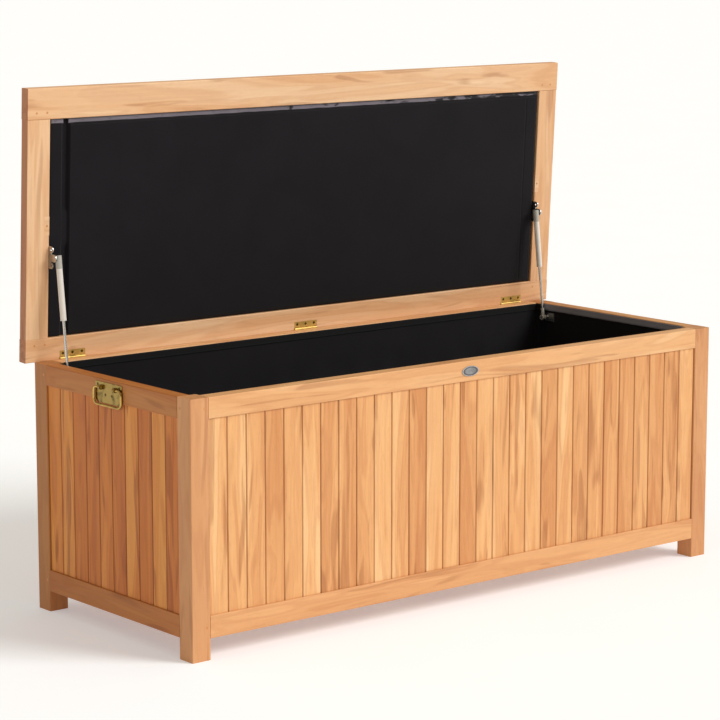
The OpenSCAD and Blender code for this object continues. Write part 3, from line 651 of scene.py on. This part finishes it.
class DECKBOX_OT_studio(bpy.types.Operator):
    """Lay the floor, set the lights and place the camera"""
    bl_idname = "deckbox.studio"
    bl_label = "Studio"

    def execute(self, context):
        studio = context.scene.deck_box_studio
        f = Finish("floor")
        f.surface(Base_Color=f.mix(f.noise(f.place(), 3.0), tuple(studio.floor_color), grey(0.82)))
        f.surface(Roughness=0.8, Emission_Color=FLOOR_GLOW, Emission_Strength=studio.floor_glow)
        corners = [(x * FLOOR_REACH, y * FLOOR_REACH, 0) for x, y in ((-1, -1), (1, -1), (1, 1), (-1, 1))]
        floor = new_piece("floor", corners, [(0, 1, 2, 3)], f.material)
        world = bpy.data.worlds.new("studio")
        world.use_nodes = True
        nodes, link = world.node_tree.nodes, world.node_tree.links.new
        sky, backdrop = nodes["Background"], nodes.new("ShaderNodeBackground")
        sky.inputs["Color"].default_value = (*studio.sky_color, 1)
        sky.inputs["Strength"].default_value = studio.sky_strength
        backdrop.inputs["Color"].default_value = (*grey(BACKDROP), 1)
        seen, either = nodes.new("ShaderNodeLightPath"), nodes.new("ShaderNodeMixShader")
        link(seen.outputs["Is Camera Ray"], either.inputs[0])
        link(sky.outputs[0], either.inputs[1])
        link(backdrop.outputs[0], either.inputs[2])
        link(either.outputs[0], nodes["World Output"].inputs["Surface"])
        context.scene.world = world
        key = bpy.data.lights.new("key", "SUN")
        key.energy = studio.sun_strength
        key.angle = studio.sun_angle
        lamp = bpy.data.objects.new("key", key)
        lamp.rotation_euler = Vector(KEY_FROM).to_track_quat("Z", "Y").to_euler()
        context.scene.collection.objects.link(lamp)
        lens = bpy.data.cameras.new("camera")
        lens.lens = LENS
        lens.sensor_width = SENSOR
        camera = bpy.data.objects.new("camera", lens)
        camera.location = CAMERA_PLACE
        camera.rotation_euler = (math.radians(90 - CAMERA_DOWN), 0, math.radians(CAMERA_TURN))
        context.scene.collection.objects.link(camera)
        context.scene.camera = camera
        context.scene.view_settings.view_transform = "Standard"
        return {"FINISHED"}


class DECKBOX_OT_case_wood(bpy.types.Operator):
    """Oiled teak on the posts, rails, slats, floor and pegs of the case"""
    bl_idname = "deckbox.case_wood"
    bl_label = "Case Wood"

    def execute(self, context):
        # Each piece has a seed of its own, and a row of boards leaves room for one to each board.
        wood = context.scene.deck_box_wood
        seed = 3
        for end in ("front_left", "front_right", "rear_left", "rear_right"):
            # The rear posts take painted shade.
            stain_and_shade = POST_STAIN if end.startswith("front") else REAR_POST_SHADE
            post = teak(f"teak_{end}_post", wood, "Z", seed, tone=0.60, figured=0.4, stain_and_shade=stain_and_shade)
            dress(post, f"{end}_post")
            seed += 4
        for side, grain in (("front", "X"), ("rear", "X"), ("left", "Y"), ("right", "Y")):
            for level in ("top", "bottom"):
                # The end rails take painted shade, the front and rear rails a stain.
                stain_and_shade = END_SHADES.get(side + "_rail", RAIL_STAIN)
                tone = 0.44 if level == "top" or grain == "Y" else 0.60
                rail = teak(f"teak_{side}_{level}_rail", wood, grain, seed, tone=tone, stain_and_shade=stain_and_shade)
                dress(rail, f"{side}_{level}_rail")
                seed += 4
        for side, axis in (("front", "X"), ("rear", "X"), ("left", "Y"), ("right", "Y")):
            low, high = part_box(f"{side}_slats")
            start, end = low["XYZ".index(axis)], high["XYZ".index(axis)]
            boards = (axis, start, (end - start) / (LONG_SLATS if axis == "X" else END_SLATS))
            # The end slats take painted shade.
            stain_and_shade = END_SHADES.get(side + "_slats", PLAIN)
            # On the left end bold strengthens the painted shade in the grooves and widens the board spread.
            figured, bold = (0.8, 2.3) if side == "left" else (0.7, 1.0)
            slats = teak(f"teak_{side}_slats", wood, "Z", seed, boards,
                         tone=0.56, figured=figured, stain_and_shade=stain_and_shade, bold=bold)
            dress(slats, f"{side}_slats")
            seed += 40
        low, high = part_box("floor_boards")
        boards = ("X", low.x, (high.x - low.x) / FLOOR_BOARDS)
        dress(teak("teak_floor", wood, "Y", seed, boards), "floor_boards")
        dress(teak("teak_bearers", wood, "X", seed + 4), "floor_bearers")
        dress(teak("teak_peg_ends", wood, "Z", seed + 8, tone=0.95), "case_pegs", "lid_pegs")
        return {"FINISHED"}


class DECKBOX_OT_lid_wood(bpy.types.Operator):
    """Oiled teak on the lid's rails, stiles, batten and slats"""
    bl_idname = "deckbox.lid_wood"
    bl_label = "Lid Wood"

    def execute(self, context):
        wood = context.scene.deck_box_wood
        turn = LID_OPEN - math.radians(90)
        end_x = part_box("lid_left_stile")[0].x
        members = (
            ("lid_front_rail", "X", 301, 0.40), ("lid_rear_rail", "X", 307, 0.40), ("lid_batten", "X", 313, 0.40),
            ("lid_left_stile", "Z", 319, 0.44), ("lid_right_stile", "Z", 331, 0.44))
        for name, grain, seed, tone in members:
            member = teak("teak_" + name, wood, grain, seed, turn=turn, tone=tone, stain_and_shade=LID_STAIN, end_x=end_x)
            dress(member, name)
        low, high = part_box("lid_slats_panel")
        boards = ("X", low.x, (high.x - low.x) / LONG_SLATS)
        dress(teak("teak_lid_slats", wood, "Z", 340, boards, turn, tone=0.52, figured=0.8), "lid_slats_panel")
        return {"FINISHED"}


class DECKBOX_OT_fittings(bpy.types.Operator):
    """Brass, zinc, chrome, paint, nylon and pewter on the fittings"""
    bl_idname = "deckbox.fittings"
    bl_label = "Fittings"

    def execute(self, context):
        tone = context.scene.deck_box_metal
        nodes = frame["nodes"]
        # The second share darkens the handle plates: partly tarnish, partly painted shade of the shaded end.
        bright, worn_and_shaded, screw_tone = (tuple(c * share for c in tone.brass) for share in (1.0, 0.58, 0.22))
        polished_brass = metal("polished_brass", bright, 0.22, scale=120.0, wear=0.40, dents=14.0)
        satin_brass = metal("satin_brass", bright, 0.46, scale=120.0, wear=0.35, metallic=0.7, dents=10.0)
        worn_brass = metal("worn_brass", worn_and_shaded, 0.24, scale=120.0, wear=0.60, dents=14.0)
        # Darker brass on the screw heads.
        screw_brass = metal("aged_brass_screws", screw_tone, 0.42, scale=300.0, wear=0.45)
        zinc = metal("zinc_plate", tuple(tone.zinc), 0.36, grain=(1, 1, 6), wear=0.30)
        chrome = metal("piston_rod", tuple(tone.chrome), 0.14, grain=(1, 1, 0.1), wear=0.10)
        paint = metal("cylinder_paint", tuple(tone.paint), 0.38, wear=0.08, metallic=0.0)
        nylon = metal("end_nylon", tuple(tone.nylon), 0.50, scale=400.0, wear=0.12, metallic=0.0)
        pewter = badge_metal("badge_pewter", tuple(tone.pewter))
        dress(satin_brass, *[n for n in nodes if "hinge" in n])
        # Handle plates: darker brass, partly tarnish and partly painted shade.
        dress(worn_brass, "left_handle_plate", "right_handle_plate")
        dress(polished_brass, "left_handle_bail", "right_handle_bail")
        dress(screw_brass, "hinge_case_screws", "hinge_lid_screws", "handle_screws")
        dress(zinc, *[n for n in nodes if "strut" in n and ("bracket" in n or "screws" in n)])
        dress(chrome, "left_strut_rod", "right_strut_rod")
        dress(paint, "left_strut_cylinder", "right_strut_cylinder")
        dress(nylon, *[n for n in nodes if n.endswith(("strut_cap", "strut_end_eye"))])
        dress(pewter, "badge")
        return {"FINISHED"}


class DECKBOX_OT_box_liner(bpy.types.Operator):
    """Hang the box's cloth liner, with its sewn floor, webbing band and stitches"""
    bl_idname = "deckbox.box_liner"
    bl_label = "Box Liner"

    def execute(self, context):
        cloth = context.scene.deck_box_cloth
        liner = woven("black_canvas", tuple(cloth.liner_color), cloth.weave_pitch)
        # The rear of the webbing band is painted black as shade.
        webbing = woven("box_webbing", tuple(cloth.webbing_color), cloth.weave_pitch * 2, 0.5, 0.1,
                        painted_shade_from=CASE_Y + REAR_BAND)
        thread = metal("sewing_thread", tuple(cloth.thread_color), 0.75, scale=900.0, wear=0.3, metallic=0.0)
        low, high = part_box("box_liner")
        band_low, band_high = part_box("box_liner_band")
        top_rail_foot, bottom_rail_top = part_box("rear_top_rail")[0].z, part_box("rear_bottom_rail")[1].z
        post_x, post_y = -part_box("front_left_post")[1].x, CASE_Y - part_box("front_left_post")[1].y
        slack_reach = 70 * MM

        def wall(point, run, z):
            """Folds between the rails and clear of the posts."""
            free = smooth(z, bottom_rail_top, bottom_rail_top + slack_reach)
            free *= 1 - smooth(z, top_rail_foot - slack_reach, top_rail_foot - 4 * MM)
            free *= smooth(max(post_x - abs(point.x), post_y - abs(point.y)), 6 * MM, 60 * MM)
            wide = soft(run * 7, z * 2.4, 3.1) - 0.45
            upright = soft(run * 22, z * 2.0, 8.7)
            crease = soft(run * 60, z * 45, 1.3)
            return free * cloth.fold_depth * (wide + 0.55 * upright) + 0.25 * MM * crease * free

        path, length = cavity_path(0.6 * MM)
        heights = spaced(low.z + cloth.cloth_thickness, high.z, 9 * MM)
        walls = wall_piece("box_liner_walls", path, length, heights, wall, liner)
        thicken(walls, cloth.cloth_thickness)
        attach(walls, "case")
        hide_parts("box_liner")

        half_x, half_y = high.x - 1 * MM, (high.y - low.y) / 2 - 1 * MM

        def ground(x, y):
            """The floor cloth: a few low puckers, and a hem where it meets the walls."""
            near_wall = min(half_x - abs(x), half_y - abs(y))
            pucker = soft(x * 9, y * 9, 5.5) * smooth(near_wall, 0, 60 * MM)
            hem = 0.5 * (1 - smooth(near_wall, 6 * MM, 14 * MM)) * abs(soft(x * 40, y * 40, 2.2))
            return (x, y + CASE_Y, low.z + (0.9 + 0.9 * max(0, pucker) + hem) * MM)

        def clear_of_posts(x, y):
            return abs(x) < post_x - 4 * MM or abs(y) < post_y - 4 * MM

        xs, ys = spaced(-half_x, half_x, 12 * MM), spaced(-half_y, half_y, 12 * MM)
        base = grid_piece("box_liner_floor", xs, ys, ground, liner, clear_of_posts)
        thicken(base, cloth.cloth_thickness)
        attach(base, "case")

        def loose(_, run, z):
            return 0.45 * MM * abs(soft(run * 18, z * 8, 6.4))

        band_path, band_length = cavity_path(2.0 * MM)
        heights = spaced(band_low.z, band_high.z, 3 * MM)
        band = wall_piece("box_liner_webbing", band_path, band_length, heights, loose, webbing)
        thicken(band, cloth.band_thickness)
        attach(band, "case")
        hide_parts("box_liner_band")

        stitch_path, _ = cavity_path(2.6 * MM)
        from_edge = 2.2 * MM
        rows = []
        for z in (band_low.z + from_edge, band_high.z - from_edge):
            flat_line = [point + inward * loose(point, run, z) for point, inward, run in stitch_path]
            rows.append(([Vector((place.x, place.y + CASE_Y, z)) for place in flat_line], True))
        stitches = repeat_along("box_liner_stitches", rows, thread, (0, 0, 1), **stitch_sizes(cloth))
        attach(stitches, "case")
        return {"FINISHED"}


class DECKBOX_OT_lid_liner(bpy.types.Operator):
    """Stretch the lid's cloth panel, with its pleat, webbing, staples and stitches"""
    bl_idname = "deckbox.lid_liner"
    bl_label = "Lid Liner"

    def execute(self, context):
        cloth = context.scene.deck_box_cloth
        liner = bpy.data.materials["black_canvas"]
        hem = woven("lid_hem", tuple(cloth.lid_hem_color), cloth.weave_pitch, 1.0, 0.08, soiled=0.95)
        thread = bpy.data.materials["sewing_thread"]
        low, high = closed_box("lid_liner")
        band_low, band_high = closed_box("lid_liner_band")
        band_width = band_high.y - band_low.y
        left, right, front, rear = low.x + 3 * MM, high.x - 1.5 * MM, low.y, high.y - 1 * MM
        rise = 4.2 * MM
        pocket_in, pocket_out, panel_in = (27 * MM, 33 * MM), (43 * MM, 46 * MM), (44 * MM, 48.5 * MM)

        def stand(x, y):
            """How far the cloth stands in from the recess: a strip at the left, a pocket that dips except over
            the batten, and the raised panel with its seam, its slow waves and its pulls at the corners."""
            u, v = x - left, right - x
            from_front, from_rear = y - front, rear - y
            end, side = min(u, v), min(from_front, from_rear)
            strip = 0.7 * MM * smooth(u, 0, 4 * MM)
            over_batten = 1 - smooth(abs(y - (front + rear) / 2), 30 * MM, 44 * MM)
            pocket = (-4.6 + 3.4 * over_batten) * MM * smooth(u, *pocket_in) * (1 - smooth(u, *pocket_out))
            panel = rise * smooth(u, *panel_in) * smooth(v, 0.5 * MM, 7 * MM)
            panel *= smooth(from_front, band_width - 1 * MM, band_width + 3 * MM) * smooth(from_rear, 0, 7 * MM)
            seam = -0.9 * MM * math.exp(-(((v - 38 * MM) / (1.3 * MM)) ** 2))
            seam *= smooth(from_front, band_width, band_width + 6 * MM)
            waves = soft(x * 4.2, y * 6, 4.4) * 0.9 * MM + soft(x * 15, y * 5, 7.9) * 0.28 * MM
            corner = math.exp(-((end / 0.11) ** 2)) * math.exp(-((side / 0.09) ** 2))
            pulls = 0.4 * MM * corner * math.sin((end - side) * 420)
            inner = smooth(min(u - 43 * MM, v, from_front - band_width, from_rear), 3 * MM, 50 * MM)
            return strip + pocket + panel + seam + (waves + pulls) * inner

        def surface(x, y):
            return on_lid(x, y, low.z - 0.1 * MM - stand(x, y))

        def finer_at_edges(low, near, far, high, steps):
            """Stops from low to high, in three stretches with their own steps."""
            stretches = zip((low, near, far), (near, far, high), steps)
            return [stop for a, b, step in stretches for stop in spaced(a, b, step)[:-1]] + [high]

        xs = finer_at_edges(left, left + 50 * MM, right - 45 * MM, right, (1.2 * MM, 6 * MM, 1.5 * MM))
        ys = finer_at_edges(front, front + 16 * MM, rear - 10 * MM, rear, (1.6 * MM, 6 * MM, 2 * MM))
        panel = grid_piece("lid_liner_panel", xs, ys, surface, liner, flip=True)
        thicken(panel, cloth.cloth_thickness, -1.0)
        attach(panel, "lid")
        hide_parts("lid_liner")

        def band_surface(x, y):
            """The webbing over the panel's hem, rippled and with an uneven edge."""
            ripple = 0.5 * abs(soft(x * 22, y * 30, 2.7)) + 0.25 * abs(soft(x * 70, y * 50, 1.1))
            edge = 0.8 * MM * soft(x * 30, 0, 9.1) * smooth(y, band_low.y + 5 * MM, band_high.y)
            return on_lid(x, y + edge, low.z - (1.3 + ripple) * MM)

        ys = spaced(band_low.y + 0.4 * MM, band_high.y - 0.6 * MM, 1.5 * MM)
        spans = {"short": (left + 1 * MM, left + 31 * MM), "long": (left + 44 * MM, right - 1 * MM)}
        for word, (start, end) in spans.items():
            band = grid_piece(f"lid_webbing_{word}", spaced(start, end, 4 * MM), ys, band_surface, hem, flip=True)
            thicken(band, cloth.band_thickness, -1.0)
            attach(band, "lid")
        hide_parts("lid_liner_band")

        face = on_lid(0, 0, -1) - on_lid(0, 0, 0)
        line_y = band_low.y + 0.45 * band_width
        line = [on_lid(x, line_y, low.z - 2.2 * MM) for x in spaced(left + 12 * MM, right - 10 * MM, 50 * MM)]
        steel = metal("staple_steel", grey(0.13), 0.45, scale=400.0, wear=0.4)
        staple_sizes = {"Spacing": cloth.staple_spacing, "Length": 8 * MM, "Width": 1.1 * MM, "Height": 0.9 * MM}
        staples = repeat_along("lid_liner_staples", [(line, False)], steel, face,
                               Turn=math.radians(8), Unevenness=0.5, **staple_sizes)

        stops_x = spaced(left + 48 * MM, right - 8 * MM, 12 * MM)
        stops_y = spaced(front + 13 * MM, rear - 8 * MM, 12 * MM)
        rows = [[(x, y) for y in stops_y] for x in (left + 48.5 * MM, right - 41 * MM)]
        rows.append([(x, front + band_width + 4.5 * MM) for x in stops_x])
        lines = [([surface(x, y) + face * 0.1 * MM for x, y in row], False) for row in rows]
        stitches = repeat_along("lid_liner_stitches", lines, thread, face, **stitch_sizes(cloth))
        for piece in (staples, stitches):
            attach(piece, "lid")
        return {"FINISHED"}


class DECKBOX_PT_panel(bpy.types.Panel):
    """Lists the box's operators and settings"""
    bl_idname = "DECKBOX_PT_panel"
    bl_label = "Deck Storage Box"
    bl_space_type = "VIEW_3D"
    bl_region_type = "UI"
    bl_category = "Deck Box"

    def draw(self, context):
        layout = self.layout
        for operator in OPERATORS:
            layout.operator(operator.bl_idname)
        for name in SETTINGS:
            settings = getattr(context.scene, name)
            column = layout.column(heading=settings.bl_rna.name)
            for key in settings.bl_rna.properties.keys():
                if key not in ("rna_type", "name"):
                    column.prop(settings, key)


SETTINGS = {
    "deck_box_wood": WoodSettings, "deck_box_cloth": ClothSettings,
    "deck_box_metal": MetalSettings, "deck_box_studio": StudioSettings,
}
OPERATORS = (
    DECKBOX_OT_studio, DECKBOX_OT_case_wood, DECKBOX_OT_lid_wood,
    DECKBOX_OT_fittings, DECKBOX_OT_box_liner, DECKBOX_OT_lid_liner,
)
CLASSES = (*SETTINGS.values(), *OPERATORS, DECKBOX_PT_panel)


def register():
    for item in CLASSES:
        bpy.utils.register_class(item)
    for name, group in SETTINGS.items():
        setattr(bpy.types.Scene, name, bpy.props.PointerProperty(type=group))


def unregister():
    for name in SETTINGS:
        delattr(bpy.types.Scene, name)
    for item in reversed(CLASSES):
        bpy.utils.unregister_class(item)


def main():
    register()
    for operator in OPERATORS:
        group, name = operator.bl_idname.split(".")
        getattr(getattr(bpy.ops, group), name)()


if __name__ == "__main__":
    main()
